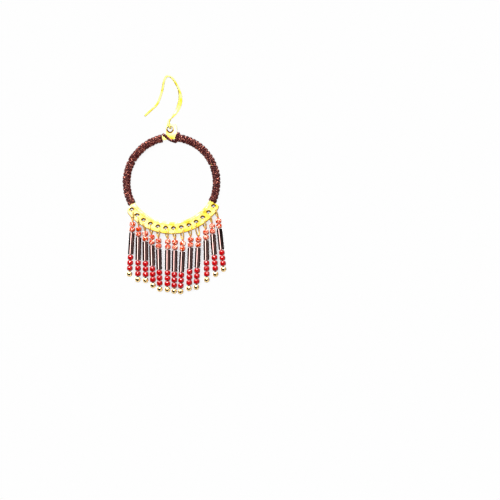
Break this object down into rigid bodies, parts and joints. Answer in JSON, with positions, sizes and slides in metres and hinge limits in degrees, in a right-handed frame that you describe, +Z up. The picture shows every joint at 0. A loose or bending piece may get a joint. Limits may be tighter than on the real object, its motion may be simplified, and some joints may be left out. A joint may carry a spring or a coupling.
{
  "type": "tassel hoop earring",
  "caption": "Hanging hoop earring with an ear hook, a thread-wound hoop and a fringe of beaded head pins.",
  "frame": {"origin": "the point under the ear hook's top bend, where the hook hangs in the ear hole", "axes": "+Z up, along the hanging drop; the earring's face looks along -Y, and +X is to the right of someone who looks at that face"},
  "size_m": [0.0321, 0.0035, 0.0681],
  "materials": {
    "gold_plate": "polished",
    "metallic_thread": "satin",
    "coral_glass": "glossy",
    "bronze_glass": "glossy",
    "ruby_glass": "glossy"
  },
  "bodies": {
    "hook": {"ear_hook": "gold_plate"},
    "drop": {"hoop_frame": "gold_plate", "thread_wrap": "metallic_thread", "head_pin_01": "gold_plate", "head_pin_02": "gold_plate", "head_pin_03": "gold_plate", "head_pin_04": "gold_plate", "head_pin_05": "gold_plate", "head_pin_06": "gold_plate", "head_pin_07": "gold_plate", "head_pin_08": "gold_plate", "head_pin_09": "gold_plate", "head_pin_10": "gold_plate", "head_pin_11": "gold_plate", "head_pin_12": "gold_plate", "head_pin_13": "gold_plate", "coral_beads_01": "coral_glass", "coral_beads_02": "coral_glass", "coral_beads_03": "coral_glass", "coral_beads_04": "coral_glass", "coral_beads_05": "coral_glass", "coral_beads_06": "coral_glass", "coral_beads_07": "coral_glass", "coral_beads_08": "coral_glass", "coral_beads_09": "coral_glass", "coral_beads_10": "coral_glass", "coral_beads_11": "coral_glass", "coral_beads_12": "coral_glass", "coral_beads_13": "coral_glass", "bugle_bead_01": "bronze_glass", "bugle_bead_02": "bronze_glass", "bugle_bead_03": "bronze_glass", "bugle_bead_04": "bronze_glass", "bugle_bead_05": "bronze_glass", "bugle_bead_06": "bronze_glass", "bugle_bead_07": "bronze_glass", "bugle_bead_08": "bronze_glass", "bugle_bead_09": "bronze_glass", "bugle_bead_10": "bronze_glass", "bugle_bead_11": "bronze_glass", "bugle_bead_12": "bronze_glass", "bugle_bead_13": "bronze_glass", "red_beads_01": "ruby_glass", "red_beads_02": "ruby_glass", "red_beads_03": "ruby_glass", "red_beads_04": "ruby_glass", "red_beads_05": "ruby_glass", "red_beads_06": "ruby_glass", "red_beads_07": "ruby_glass", "red_beads_08": "ruby_glass", "red_beads_09": "ruby_glass", "red_beads_10": "ruby_glass", "red_beads_11": "ruby_glass", "red_beads_12": "ruby_glass", "red_beads_13": "ruby_glass"}
  },
  "joints": [
    {"name": "drop_swing", "type": "hinge", "parent": "hook", "child": "drop", "pos_m": [0.00065, 0, -0.01576], "axis": [0, 1, 0], "range_deg": [-45, 45]}
  ]
}
